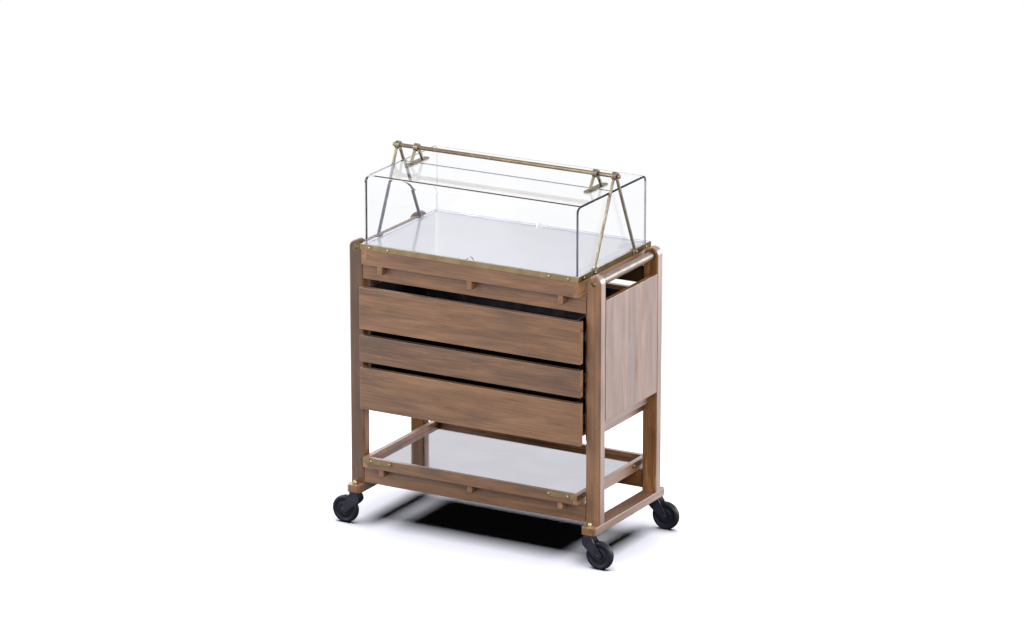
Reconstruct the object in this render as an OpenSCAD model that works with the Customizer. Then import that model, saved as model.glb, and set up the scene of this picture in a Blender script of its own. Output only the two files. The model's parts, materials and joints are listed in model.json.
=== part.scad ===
// Wheeled dessert cart: a timber frame with three drawers, a lift-off serving tray below,
// and a deep lift-off tray on top whose clear cover opens as two bent lids on one brass rod.
// X runs to the right, Y to the back and Z up. The origin is on the floor under the middle.

/* [Frame] */
// Width over the posts
cart_width = 850; // [840:2:870]
// Depth over the posts
cart_depth = 384; // [380:2:392]
// Top of the half-round posts above the floor
post_top = 884; // [870:2:900]
// Width of a post, and of the skid under it
post_width = 48; // [46:1:50]
// Depth of a post
post_depth = 32; // [30:1:34]
// Rounding of the long edges of the posts
post_edge = 5; // [3:0.5:7]
// Height of a skid, the long foot that joins two posts
skid_height = 24; // [24:1:30]
// How far a skid runs out past each post
skid_overhang = 31; // [29:1:34]
// Thickness of the long rails
rail_thick = 20; // [18:1:22]
// Height of the rails under the upper tray
upper_rail_height = 53; // [50:1:56]
// Height of the rails under the lower tray
lower_rail_height = 57; // [54:1:60]
// Width of a cross bearer
bearer_width = 17; // [14:1:20]
// How far the bearers' ends stand back from the edges of the trays
bearer_setback = 4; // [1:1:10]
// Distance from the middle bearer to the outer ones
bearer_pitch = 305; // [280:5:330]
// Thickness of the side and back panels
panel_thick = 15; // [12:1:18]
// Room for a hand between a handle and the side panel below it
hand_room = 40; // [34:1:52]
// Bottom of the side panels above the floor
side_panel_bottom = 441; // [430:1:460]

/* [Handles] */
// Outer diameter of a handle tube
handle_diameter = 26; // [24:0.5:28]
// Wall of a handle tube
handle_wall = 2; // [1.5:0.25:3]
// Diameter of the handle bolts' shanks
handle_bolt = 8; // [6:0.5:10]
// Diameter of the domed bolt heads
bolt_head = 15; // [13:0.5:17]

/* [Drawers] */
// Height of the deep drawers' fronts
deep_front = 129; // [125:1:131]
// Height of the shallow drawer's front
shallow_front = 82; // [79:1:84]
// Finger gap over each drawer front
finger_gap = 19; // [17:1:20]
// Thickness of a drawer front
front_thick = 18; // [16:1:20]
// How far the drawers stand open as modelled
drawer_out = 29.5; // [27:0.5:32]
// Clearance behind a drawer's box when the drawer is shut
box_back_gap = 5; // [3:0.5:20]
// Thickness of the steel sheet in the boxes
box_sheet = 1.5; // [1:0.25:2.5]
// Thickness of the boards that carry the slides
cabinet_thick = 12; // [10:1:14]

/* [Upper tray] */
// Clearance between the timber and the posts
tray_play = 12; // [10:0.5:14]
// Depth over the timber
tray_depth = 441; // [436:1:446]
// Height of the timber
tray_height = 60; // [58:1:60]
// Thickness of the timber
tray_board = 15; // [13:1:17]
// Height of the brass edging
edging_height = 16; // [14:1:18]
// Thickness of the brass edging
edging_thick = 3.5; // [2.5:0.5:3.5]

/* [Cover] */
// Height of the cover above the upper tray
cover_height = 209; // [195:1:215]
// Thickness of the clear sheet
clear_thick = 6; // [5:0.5:7]
// Outer radius of the bend in each lid
clear_bend = 21; // [14:1:24]
// Radius of the finger notch at the foot of each lid
lid_notch = 11; // [8:0.5:13]
// Diameter of the hinge rod
rod_diameter = 12; // [10:0.5:13]
// Height of the rod's middle above the cover
rod_lift = 45.5; // [42:0.5:50]
// Outer diameter of the eyes round the rod
eye_diameter = 24; // [22:0.5:26]
// Side of the square bars in the frames and brackets
bar_side = 7.4; // [6.5:0.1:7.4]
// Spread of the frames' feet from the middle
frame_spread = 116; // [105:1:122]
// Distance from the middle to the lid brackets
bracket_pitch = 302.5; // [280:2.5:320]

/* [Lower tray] */
// Clearance between the lower tray's timber and the posts
lower_tray_play = 11; // [8:0.5:14]
// Depth of the lower tray over its timber
lower_tray_depth = 440; // [430:2:446]
// Height of the lower tray's timber
lower_tray_height = 32; // [28:1:36]
// Depth of the dish in the lower tray
lower_dish = 15; // [11:1:18]
// Height of the brass corner brackets
corner_height = 15; // [12:1:17]

/* [Casters] */
// Wheel diameter
wheel_diameter = 86; // [80:1:87]
// Wheel width
wheel_width = 21; // [18:1:22]
// Trail of the axle behind the swivel
wheel_trail = 34; // [30:1:38]
// Clearance between a wheel and each arm of its fork
wheel_play = 2; // [1:0.5:3]
// Thickness of each fork arm
fork_arm = 4; // [3:0.5:4]

/* [Hidden] */

$fn = 48;
cut = 1;                 // how far a cutting shape runs past the face it opens
fit = 0.05;              // clearance of a running or fastening fit, each side
gap = 0.3;               // clearance between pieces that pass each other

timber = [0.45, 0.33, 0.26];
timber_end = [0.55, 0.44, 0.38];
brass = [0.62, 0.54, 0.38];
steel = [0.72, 0.73, 0.75];
champagne = [0.80, 0.76, 0.70];
gloss_white = [0.92, 0.92, 0.94];
clear = [0.80, 0.85, 0.92, 0.35];
charcoal = [0.13, 0.13, 0.15];

half_width = cart_width / 2;
half_depth = cart_depth / 2;
post_inner_x = half_width - post_width;
post_inner_y = half_depth - post_depth;
post_x = half_width - post_width / 2;
post_y = half_depth - post_depth / 2;

// Casters: each fork's head starts just under the level of its wheel's top
wheel_radius = wheel_diameter / 2;
fork_width = wheel_width + 2 * (fork_arm + wheel_play);
stem_x = post_x;
stem_y = half_depth + skid_overhang / 2;
stem_radius = 5;
stem_flange = 8;
flange_sheet = 3;
head_radius = 19;
head_height = 16;
head_sink = 1;
head_bottom = wheel_diameter - head_sink;
fork_top = head_bottom + head_height;
fork_play = 1;
axle_radius = 4;
axle_boss = 11;
axle_head = 6;
axle_dome = 2;
nut_radius = 7.5;
nut_height = 6;
washer_radius = 11;
washer_sheet = 2;
tread_edge = 3;
ring_sink = 1.5;
rings = [[14, 20], [28, 32]];

// Heights, from the floor up
skid_bottom = fork_top + fork_play;
toe_round = 12;
rail_rise = 5;
seat_drop = 63;
post_bottom = skid_bottom + skid_height;
handle_z = post_top - post_width / 2;
side_panel_top = handle_z - handle_diameter / 2 - hand_room;
lower_rail_bottom = post_bottom + rail_rise;
lower_seat = lower_rail_bottom + lower_rail_height;
upper_seat = post_top - seat_drop;
upper_rail_bottom = upper_seat - upper_rail_height;
upper_front_bottom = upper_rail_bottom - finger_gap - deep_front;
middle_front_bottom = upper_front_bottom - finger_gap - shallow_front;
lower_front_bottom = middle_front_bottom - finger_gap - deep_front;
side_rail_height = 35;
side_rail_thick = 23;
cabinet_rise = 4;
cabinet_bottom = lower_front_bottom + cabinet_rise;

// Bearers, notched their full height through the rails
upper_bearer_height = 27;
lower_bearer_height = 22;
bearer_places = [-bearer_pitch, 0, bearer_pitch];

// Tenons
rail_tenon = 14;
rail_tenon_thick = 8;
rail_tenon_inset = 8;
post_tenon = [26, 14, 12];

// Handles: the tube ends sit in a recess in each post
recess_depth = 6;
recess_radius = handle_diameter / 2 + 2;
plug_length = 20;
bolt_bite = 14;
bolt_dome = 3.5;
slot_width = 1.6;
slot_depth = 1.2;

// Drawers
front_play = 3.5;
front_width = 2 * (post_inner_x - front_play);
front_edge = 1.5;
drawer_face = -half_depth - drawer_out;
box_front = drawer_face + front_thick;
cabinet_inner = post_inner_x - cabinet_thick;
box_length = cart_depth - front_thick - panel_thick - box_back_gap;
box_lift = 12;
box_drop = 1;
slide_play = 1.5;
channel_depth = 11.5;
channel_sheet = 2;
channel_height = 30;
channel_back_gap = 7;
channel_length = cart_depth - rail_thick - panel_thick - channel_back_gap;
box_half = cabinet_inner - channel_depth - slide_play;
runner_thick = channel_depth - channel_sheet;
runner_height = 25;
runner_setback = 4;

// Upper tray and its cover
tray_half_x = post_inner_x - tray_play;
tray_half_y = tray_depth / 2;
tray_top = upper_seat + tray_height;
panel_sheet = 6;
tray_rim = 7.5;
edging_x = tray_half_x + edging_thick;
edging_y = tray_half_y + edging_thick;
edging_rise = 3;
edging_top = tray_top + edging_rise;
edging_middle = edging_top - edging_height / 2;
screw_head = 5;
screw_dome = 2.8;
screw_shank = 2;
screw_bite = 10;
near_screw = 34;
far_screw = 97;
cover_setback = 1.5;
cover_half_x = tray_half_x - tray_rim;
cover_half_y = tray_half_y - tray_rim - cover_setback;
cover_top = tray_top + cover_height;
rod_z = cover_top + rod_lift;
ball_proud = 1.2;
rod_ball = rod_diameter / 2 + ball_proud;
bar_play = 0.1;
row_pitch = bar_side + bar_play;
row_gap = 1.5;
inner_row = cover_half_x + row_gap + row_pitch / 2;
outer_row = inner_row + row_pitch;
ball_reach = sqrt(rod_ball * rod_ball - rod_diameter * rod_diameter / 4);
ball_x = outer_row + row_pitch / 2 + ball_reach;
clip_sheet = 2.5;
clip_half = 13;
clip_shift = 3;
clip_short = 2;
clip_drop = edging_height - clip_short;
clip_screw_shift = 11;
clip_screw = edging_y - frame_spread - clip_screw_shift;
bracket_plate = [24.5, 62, 3];
bracket_play = 0.6;
bracket_row = (bar_side + bracket_play) / 2;
bracket_spread = 28;

// Lower tray
lower_half_x = post_inner_x - lower_tray_play;
lower_half_y = lower_tray_depth / 2;
lower_tray_top = lower_seat + lower_tray_height;
lower_panel_top = lower_tray_top - lower_dish;
groove = 5;
corner_thick = 3;
corner_end = 7;
corner_leg = far_screw + corner_end;
corner_drop = 1;
corner_x = lower_half_x + corner_thick;
corner_y = lower_half_y + corner_thick;
corner_middle = lower_tray_top - corner_drop - corner_height / 2;

// Small shapes shared by the pieces

// Rectangle centred on the origin with rounded corners
module rounded_rect(size, r) {
    square([size[0] - 2 * r, size[1]], center = true);
    square([size[0], size[1] - 2 * r], center = true);
    for (i = [-1, 1], j = [-1, 1])
        translate([i * (size[0] / 2 - r), j * (size[1] / 2 - r)]) circle(r);
}

// Box between two corners
module block(low, high) {
    translate(low) cube(high - low);
}

// Domed head: a slice of a ball, its flat side at z = 0
module dome(r, h) {
    ball = (r * r + h * h) / (2 * h);
    intersection() {
        translate([0, 0, h - ball]) sphere(ball, $fn = 64);
        cylinder(r = r + cut, h = h + cut);
    }
}

// The children, and their mirror image at the other side
module both_sides() {
    children();
    mirror([1, 0, 0]) children();
}

// The children, and their mirror image from front to back
module both_ends() {
    children();
    mirror([0, 1, 0]) children();
}

// One screw with its head outwards along Z
module screw() {
    dome(screw_head, screw_dome);
    translate([0, 0, -screw_bite]) cylinder(r = screw_shank, h = screw_bite + cut / 2);
}

module screw_hole() {
    translate([0, 0, -screw_bite - cut]) cylinder(r = screw_shank + fit, h = 2 * screw_bite);
}

// Children facing outwards on the front edge of a tray at x, and on its right edge at y
module on_front(x, face, z) {
    translate([x, -face, z]) rotate([90, 0, 0]) children();
}

module on_right(y, face, z) {
    translate([face, y, z]) rotate([0, 90, 0]) children();
}

// The children at the screw places round a tray's corners: two on each long edge, at the same
// distances from the corner, and two on each end, the second end_far from the corner
module corner_screws(face_x, face_y, z, end_far) {
    both_sides() both_ends() {
        for (inset = [near_screw, far_screw])
            on_front(face_x - inset, face_y, z) children();
        for (inset = [near_screw, end_far])
            on_right(inset - face_y, face_x, z) children();
    }
}

// Frame

module post_blank() {
    translate([0, 0, post_bottom])
        linear_extrude(handle_z - post_bottom) rounded_rect([post_width, post_depth], post_edge);
    translate([0, 0, handle_z]) rotate([90, 0, 0]) rotate_extrude($fn = 96) {
        translate([0, -post_depth / 2]) square([post_width / 2 - post_edge, post_depth]);
        translate([0, post_edge - post_depth / 2])
            square([post_width / 2, post_depth - 2 * post_edge]);
        for (j = [-1, 1])
            translate([post_width / 2 - post_edge, j * (post_depth / 2 - post_edge)])
                circle(post_edge, $fn = 32);
    }
}

// Tongue at the right end of a front rail, also the cutter for its mortise
module rail_tongue(bottom, height) {
    y = -half_depth + rail_thick / 2;
    block([post_inner_x - cut, y - rail_tenon_thick / 2, bottom + rail_tenon_inset],
        [post_inner_x + rail_tenon, y + rail_tenon_thick / 2, bottom + height - rail_tenon_inset]);
}

// The post at the front right; the others are its mirror images
module corner_post() {
    color(timber) {
        difference() {
            translate([post_x, -post_y, 0]) post_blank();
            rail_tongue(upper_rail_bottom, upper_rail_height);
            rail_tongue(lower_rail_bottom, lower_rail_height);
            translate([post_x, -post_inner_y + cut, handle_z]) rotate([90, 0, 0]) {
                cylinder(r = recess_radius, h = recess_depth + cut);
                cylinder(r = handle_bolt / 2 + gap, h = post_depth + 2 * cut);
            }
        }
        translate([post_x, -post_y, post_bottom - post_tenon[2] / 2])
            cube([post_tenon[0], post_tenon[1], post_tenon[2] + 0.002], center = true);
    }
}

module skid() {
    color(timber_end) difference() {
        translate([post_x, 0, skid_bottom])
            linear_extrude(skid_height)
                rounded_rect([post_width, cart_depth + 2 * skid_overhang], toe_round);
        both_ends() {
            translate([post_x, -post_y, post_bottom - post_tenon[2] / 2 + cut / 2])
                cube([post_tenon[0], post_tenon[1], post_tenon[2] + cut], center = true);
            translate([stem_x, -stem_y, skid_bottom - cut])
                cylinder(r = stem_radius + fit, h = skid_height + 2 * cut);
        }
    }
}

module side_panel() {
    color(timber_end) block([half_width - panel_thick, -post_inner_y, side_panel_bottom],
        [half_width, post_inner_y, side_panel_top]);
}

module side_rail() {
    color(timber_end) block([post_inner_x, -post_inner_y, side_panel_bottom - side_rail_height],
        [post_inner_x + side_rail_thick, post_inner_y, side_panel_bottom]);
}

// Front rail between the posts, with a notch for each bearer
module long_rail(bottom, height, notch) {
    color(timber) {
        difference() {
            block([-post_inner_x, -half_depth, bottom],
                [post_inner_x, rail_thick - half_depth, bottom + height]);
            for (x = bearer_places)
                block([x - bearer_width / 2, -half_depth - cut, bottom + height - notch],
                    [x + bearer_width / 2, half_depth, bottom + height + cut]);
        }
        both_sides() intersection() {
            rail_tongue(bottom, height);
            block([post_inner_x, -half_depth, 0], [half_width, half_depth, post_top]);
        }
    }
}

// Three cross bearers under a tray, their ends a little back from its edges
module bearers(top, height, tray_half) {
    half = tray_half - bearer_setback;
    color(timber) for (x = bearer_places)
        block([x - bearer_width / 2, -half, top - height],
            [x + bearer_width / 2, half, top]);
}

module back_panel() {
    color(timber) block([-post_inner_x, half_depth - panel_thick, lower_front_bottom],
        [post_inner_x, half_depth, upper_rail_bottom - finger_gap - box_drop]);
}

module cabinet_side() {
    color(timber) block([cabinet_inner, rail_thick - half_depth, cabinet_bottom],
        [post_inner_x, half_depth - panel_thick, upper_rail_bottom]);
}

// Handles

module handle() {
    inner = handle_diameter / 2 - handle_wall;
    half = post_inner_y + recess_depth;
    color(champagne) translate([post_x, 0, handle_z]) rotate([90, 0, 0]) difference() {
        cylinder(d = handle_diameter, h = 2 * half, center = true);
        cylinder(r = inner, h = 2 * (half - plug_length), center = true);
        cylinder(r = handle_bolt / 2 + fit, h = 2 * half + 2 * cut, center = true);
    }
}

// The bolt at the front right, its shank reaching into the handle's plug
module handle_bolt() {
    color(brass) translate([post_x, -half_depth, handle_z]) rotate([90, 0, 0]) {
        difference() {
            dome(bolt_head / 2, bolt_dome);
            translate([0, 0, bolt_dome]) cube([bolt_head + cut, slot_width, 2 * slot_depth], center = true);
        }
        translate([0, 0, recess_depth - post_depth - bolt_bite])
            cylinder(d = handle_bolt, h = post_depth - recess_depth + bolt_bite + 0.5);
    }
}

// Casters

// Washer and domed nut on a skid's toe, the dome closed over the stem's end
module caster_nut() {
    color(brass) translate([stem_x, -stem_y, post_bottom]) difference() {
        union() {
            cylinder(r = washer_radius, h = washer_sheet);
            cylinder(r = nut_radius, h = nut_height);
            translate([0, 0, nut_height]) sphere(nut_radius);
        }
        translate([0, 0, -nut_radius])
            cylinder(r = stem_radius + fit, h = nut_radius + nut_height + cut);
    }
}

// Stem with the flange that carries the fork's head
module caster_stem() {
    color(charcoal) translate([stem_x, -stem_y, 0]) {
        translate([0, 0, head_bottom]) cylinder(r = stem_flange, h = flange_sheet);
        translate([0, 0, head_bottom]) cylinder(r = stem_radius, h = post_bottom + nut_height - head_bottom);
    }
}

// Two circles joined by their outer tangents, the first at the origin and the second at p
module tangent_link(r1, r2, p) {
    d = norm(p);
    lean = asin((r1 - r2) / d);
    rotate(atan2(p[1], p[0])) {
        circle(r1);
        translate([d, 0]) circle(r2);
        polygon([
            for (side = [1, -1]) [r1 * sin(lean), side * r1 * cos(lean)],
            for (side = [-1, 1]) [d + r2 * sin(lean), side * r2 * cos(lean)]
        ]);
    }
}

// Fork with its axle about a swivel at x = 0, y = 0, trailing towards +X
module fork_shape() {
    arm_inner = fork_width / 2 - fork_arm;
    top = fork_top - head_radius;
    difference() {
        union() {
            for (side = [-1, 1])
                translate([0, side * (arm_inner + fork_arm / 2), top]) rotate([90, 0, 0])
                    linear_extrude(fork_arm, center = true)
                        tangent_link(head_radius, axle_boss, [wheel_trail, wheel_radius - top]);
            intersection() {
                translate([0, 0, head_bottom]) cylinder(r = head_radius, h = fork_top - head_bottom);
                translate([0, 0, fork_top / 2])
                    cube([3 * head_radius, fork_width - cut, 2 * fork_top], center = true);
            }
        }
        cylinder(r = stem_radius + fit, h = 2 * fork_top);
        translate([0, 0, head_bottom - head_radius])
            cylinder(r = stem_flange + gap, h = head_radius + flange_sheet + gap);
    }
    translate([wheel_trail, 0, wheel_radius]) both_ends() {
        rotate([90, 0, 0]) cylinder(r = axle_radius, h = fork_width / 2 + 0.5);
        translate([0, -fork_width / 2, 0]) rotate([90, 0, 0]) dome(axle_head, axle_dome);
    }
}

// Half section of the wheel: rounded tread, axle hole and two shallow rings in each side
module wheel_profile() {
    hub = axle_radius + fit;
    difference() {
        union() {
            translate([hub, 0]) square([wheel_radius - tread_edge - hub, wheel_width]);
            translate([hub, tread_edge]) square([wheel_radius - hub, wheel_width - 2 * tread_edge]);
            for (y = [tread_edge, wheel_width - tread_edge])
                translate([wheel_radius - tread_edge, y]) circle(tread_edge, $fn = 24);
        }
        for (y = [0, wheel_width], ring = rings)
            translate([ring[0], y - ring_sink]) square([ring[1] - ring[0], 2 * ring_sink]);
    }
}

// Places one caster: side and end pick the corner, and trail the way it points
module at_caster(side, end, trail) {
    translate([side * stem_x, end * stem_y, 0]) facing_x(trail) children();
}

// Children as drawn for +X, or mirrored for -X
module facing_x(sign) {
    if (sign < 0) mirror([1, 0, 0]) children();
    else children();
}

module caster_fork(side, end) {
    color(charcoal) at_caster(side, end, side) fork_shape();
}

module caster_wheel(side, end) {
    color(charcoal) at_caster(side, end, side)
        translate([wheel_trail, wheel_width / 2, wheel_radius]) rotate([90, 0, 0])
            rotate_extrude($fn = 128) wheel_profile();
}

// Drawers

function slide_middle(bottom, height) = bottom + (height + box_lift - box_drop) / 2;

module slide_channels() {
    color(steel) both_sides()
        for (drawer = [
            [upper_front_bottom, deep_front],
            [middle_front_bottom, shallow_front],
            [lower_front_bottom, deep_front]
        ]) {
            z = slide_middle(drawer[0], drawer[1]);
            translate([cabinet_inner - channel_depth, rail_thick - half_depth, z - channel_height / 2])
                difference() {
                    cube([channel_depth, channel_length, channel_height]);
                    translate([-cut, -cut, channel_sheet])
                        cube([
                            channel_depth - channel_sheet + cut,
                            channel_length + 2 * cut,
                            channel_height - 2 * channel_sheet
                        ]);
                }
        }
}

module drawer_front(bottom, height) {
    color(timber) translate([0, drawer_face, bottom + height / 2]) rotate([-90, 0, 0])
        linear_extrude(front_thick) rounded_rect([front_width, height], front_edge);
}

// Folded steel box, open at the top
module drawer_box(bottom, height) {
    color(steel) difference() {
        block([-box_half, box_front, bottom + box_lift],
            [box_half, box_front + box_length, bottom + height - box_drop]);
        block([box_sheet - box_half, box_front + box_sheet, bottom + box_lift + box_sheet],
            [box_half - box_sheet, box_front + box_length - box_sheet, bottom + height]);
    }
}

module drawer_runners(bottom, height) {
    z = slide_middle(bottom, height);
    color(steel) both_sides() block([box_half, box_front + runner_setback, z - runner_height / 2],
        [box_half + runner_thick, box_front + box_length, z + runner_height / 2]);
}

// Upper tray

// Four boards round a tray: the end boards run through, the long boards fit between them
module tray_frame(half_x, half_y, bottom, top) {
    both_sides() block([half_x - tray_board, -half_y, bottom], [half_x, half_y, top]);
    both_ends() block([tray_board - half_x, -half_y, bottom],
        [half_x - tray_board, tray_board - half_y, top]);
}

module top_tray_boards() {
    color(timber) difference() {
        tray_frame(tray_half_x, tray_half_y, upper_seat, tray_top);
        top_panel_space(cut);
        corner_screws(edging_x, edging_y, edging_middle, clip_screw) screw_hole();
    }
}

// The rebate that the panel fills; extra raises its top when it cuts
module top_panel_space(extra) {
    block([-cover_half_x, tray_rim - tray_half_y, tray_top - panel_sheet],
        [cover_half_x, tray_half_y - tray_rim, tray_top + extra]);
}

module top_tray_panel() {
    color(gloss_white) top_panel_space(0);
}

// Flat brass bars all round, joined at the corners
module top_tray_edging() {
    color(brass) difference() {
        edging_bars();
        corner_screws(edging_x, edging_y, edging_middle, clip_screw) screw_hole();
    }
}

module edging_bars() {
    low = edging_top - edging_height;
    both_sides() block([tray_half_x, -edging_y, low], [edging_x, edging_y, edging_top]);
    both_ends() block([-edging_x, -edging_y, low], [edging_x, -tray_half_y, edging_top]);
}

// The far screws on the end bars also hold the feet of the frames, so they stand on the clips
module top_tray_screws() {
    color(brass) both_sides() both_ends() {
        for (inset = [near_screw, far_screw])
            on_front(edging_x - inset, edging_y, edging_middle) screw();
        on_right(near_screw - edging_y, edging_x, edging_middle) screw();
        on_right(clip_screw - edging_y, edging_x + clip_sheet, edging_middle) screw();
    }
}

// Cover

// Profile of one lid in the plane of Y and Z: up the front, round the bend and back to the seam
module lid_profile(inset, thick) {
    out = cover_half_y - inset;
    top = cover_top - inset;
    r = clear_bend - inset;
    difference() {
        lid_outline(out, top, r);
        if (thick > 0) lid_outline(out - thick, top - thick, r - thick);
    }
}

// Solid outline with a rounded top corner, from the seam out to the front wall
module lid_outline(out, top, r) {
    translate([-out, tray_top - cut]) square([out + cut, top - r - tray_top + cut]);
    translate([r - out, tray_top]) square([out - r + cut, top - tray_top]);
    translate([r - out, top - r]) circle(r, $fn = 96);
}

// Runs a profile drawn in Y and Z along X
module along_x(length) {
    rotate([90, 0, 90]) linear_extrude(length, center = true) children();
}

module lid() {
    color(clear) difference() {
        intersection() {
            along_x(2 * cover_half_x) lid_profile(0, clear_thick);
            block([-half_width, -cart_depth, tray_top], [half_width, -gap, cover_top + cut]);
        }
        translate([0, -cover_half_y + clear_thick + cut, tray_top]) rotate([90, 0, 0])
            cylinder(r = lid_notch, h = clear_thick + 2 * cut);
    }
}

// Fixed end of the cover, inside both bent lids
module cover_end() {
    inset = clear_thick + gap;
    color(clear) intersection() {
        translate([cover_half_x - clear_thick / 2, 0, 0]) along_x(clear_thick) {
            lid_profile(inset, 0);
            mirror([1, 0]) lid_profile(inset, 0);
        }
        block([0, -cart_depth, tray_top], [half_width, cart_depth, cover_top]);
    }
}

module hinge_rod() {
    color(brass) {
        rod_bar();
        for (side = [-1, 1]) translate([side * ball_x, 0, rod_z]) sphere(rod_ball);
    }
}

module rod_bar() {
    translate([0, 0, rod_z]) rotate([0, 90, 0]) cylinder(d = rod_diameter, h = 2 * ball_x, center = true);
}

// Eye round the rod at x with a square bar down to the height foot, spread along Y
module eye_bar(x, spread, foot) {
    drop = rod_z - foot;
    lean = atan2(spread, drop);
    reach = norm([spread, drop]) + bar_side;
    translate([x, 0, 0]) difference() {
        translate([0, 0, rod_z]) {
            rotate([0, 90, 0]) cylinder(d = eye_diameter, h = bar_side, center = true);
            rotate([lean, 0, 0]) translate([0, 0, -reach / 2])
                cube([bar_side, bar_side, reach], center = true);
        }
        translate([0, 0, rod_z]) rotate([0, 90, 0])
            cylinder(r = rod_diameter / 2 + fit, h = bar_side + 2 * cut, center = true);
        translate([0, 0, foot - reach]) cube(2 * reach, center = true);
    }
}

// Clip over the brass at the foot of a bar, drawn for the front foot on the right
module foot_clip() {
    y = -frame_spread - clip_shift;
    difference() {
        union() {
            block([inner_row - row_pitch / 2, y - clip_half, edging_top],
                [edging_x + clip_sheet, y + clip_half, edging_top + clip_sheet]);
            block([edging_x, y - clip_half, edging_top - clip_drop],
                [edging_x + clip_sheet, y + clip_half, edging_top + clip_sheet]);
        }
        on_right(clip_screw - edging_y, edging_x + clip_sheet, edging_middle) screw_hole();
    }
}

// One end frame; front_row and rear_row are the places along X of its two bars
module a_frame(front_row, rear_row, side) {
    foot = edging_top + clip_sheet;
    color(brass) {
        eye_bar(front_row, -frame_spread, foot);
        eye_bar(rear_row, frame_spread, foot);
        both_ends() facing_x(side) foot_clip();
    }
}

// One lid's two brackets: an eye, a short bar and half of the long foot plate
module lid_brackets(end) {
    color(brass) for (side = [-1, 1]) {
        x = side * bracket_pitch;
        eye_bar(x + end * bracket_row, end * bracket_spread, cover_top + bracket_plate[2] - 0.5);
        facing_y(-end) difference() {
            translate([x, 0, cover_top]) linear_extrude(bracket_plate[2])
                rounded_rect([bracket_plate[0], 2 * bracket_plate[1]], bracket_plate[0] / 2 - 0.01);
            block([-half_width, -gap, 0], [half_width, half_depth, 2 * cover_top]);
        }
    }
}

// Children as drawn for +Y, or mirrored for -Y
module facing_y(sign) {
    if (sign < 0) mirror([0, 1, 0]) children();
    else children();
}

// Lower tray

module lower_tray_boards() {
    color(timber) difference() {
        tray_frame(lower_half_x, lower_half_y, lower_seat, lower_tray_top);
        lower_panel_space();
        corner_screws(corner_x, corner_y, corner_middle, far_screw) screw_hole();
    }
}

// The panel, held in a groove all round
module lower_panel_space() {
    inset = tray_board - groove;
    block([inset - lower_half_x, inset - lower_half_y, lower_panel_top - panel_sheet],
        [lower_half_x - inset, lower_half_y - inset, lower_panel_top]);
}

module lower_tray_panel() {
    color(gloss_white) lower_panel_space();
}

module lower_tray_corners() {
    low = corner_middle - corner_height / 2;
    high = corner_middle + corner_height / 2;
    color(brass) difference() {
        both_sides() both_ends() union() {
            block([corner_x - corner_leg, -corner_y, low], [corner_x, -lower_half_y, high]);
            block([lower_half_x, -corner_y, low], [corner_x, corner_leg - corner_y, high]);
        }
        corner_screws(corner_x, corner_y, corner_middle, far_screw) screw_hole();
    }
}

module lower_tray_screws() {
    color(brass) corner_screws(corner_x, corner_y, corner_middle, far_screw) screw();
}

mirror([1, 0, 0]) corner_post();  // post_front_left
corner_post();  // post_front_right
mirror([1, 0, 0]) mirror([0, 1, 0]) corner_post();  // post_rear_left
mirror([0, 1, 0]) corner_post();  // post_rear_right
mirror([1, 0, 0]) skid();  // skid_left
skid();  // skid_right
mirror([1, 0, 0]) side_panel();  // side_panel_left
side_panel();  // side_panel_right
mirror([1, 0, 0]) side_rail();  // side_rail_left
side_rail();  // side_rail_right
long_rail(upper_rail_bottom, upper_rail_height, upper_bearer_height);  // upper_rail_front
mirror([0, 1, 0]) long_rail(upper_rail_bottom, upper_rail_height, upper_bearer_height);  // upper_rail_rear
long_rail(lower_rail_bottom, lower_rail_height, lower_bearer_height);  // lower_rail_front
mirror([0, 1, 0]) long_rail(lower_rail_bottom, lower_rail_height, lower_bearer_height);  // lower_rail_rear
back_panel();
mirror([1, 0, 0]) cabinet_side();  // cabinet_side_left
cabinet_side();  // cabinet_side_right
bearers(upper_seat, upper_bearer_height, tray_half_y);  // upper_bearers
bearers(lower_seat, lower_bearer_height, lower_half_y);  // lower_bearers
mirror([1, 0, 0]) handle();  // handle_left
handle();  // handle_right
both_sides() both_ends() handle_bolt();  // handle_bolts
both_sides() both_ends() caster_nut();  // caster_nuts
both_sides() both_ends() caster_stem();  // caster_stems
slide_channels();
drawer_front(upper_front_bottom, deep_front);  // upper_drawer_front
drawer_box(upper_front_bottom, deep_front);  // upper_drawer_box
drawer_runners(upper_front_bottom, deep_front);  // upper_drawer_runners
drawer_front(middle_front_bottom, shallow_front);  // middle_drawer_front
drawer_box(middle_front_bottom, shallow_front);  // middle_drawer_box
drawer_runners(middle_front_bottom, shallow_front);  // middle_drawer_runners
drawer_front(lower_front_bottom, deep_front);  // lower_drawer_front
drawer_box(lower_front_bottom, deep_front);  // lower_drawer_box
drawer_runners(lower_front_bottom, deep_front);  // lower_drawer_runners
top_tray_boards();
top_tray_panel();
top_tray_edging();
top_tray_screws();
mirror([1, 0, 0]) cover_end();  // cover_end_left
cover_end();  // cover_end_right
hinge_rod();
a_frame(-outer_row, -inner_row, -1);  // a_frame_left
a_frame(inner_row, outer_row, 1);  // a_frame_right
lid();  // front_lid
mirror([0, 1, 0]) lid();  // rear_lid
lid_brackets(-1);  // front_lid_brackets
lid_brackets(1);  // rear_lid_brackets
lower_tray_boards();
lower_tray_panel();
lower_tray_corners();
lower_tray_screws();
caster_fork(-1, -1);  // caster_fork_fl
caster_fork(1, -1);  // caster_fork_fr
caster_fork(-1, 1);  // caster_fork_rl
caster_fork(1, 1);  // caster_fork_rr
caster_wheel(-1, -1);  // caster_wheel_fl
caster_wheel(1, -1);  // caster_wheel_fr
caster_wheel(-1, 1);  // caster_wheel_rl
caster_wheel(1, 1);  // caster_wheel_rr
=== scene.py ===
import json
from math import cos, pi, radians, sin

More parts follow.
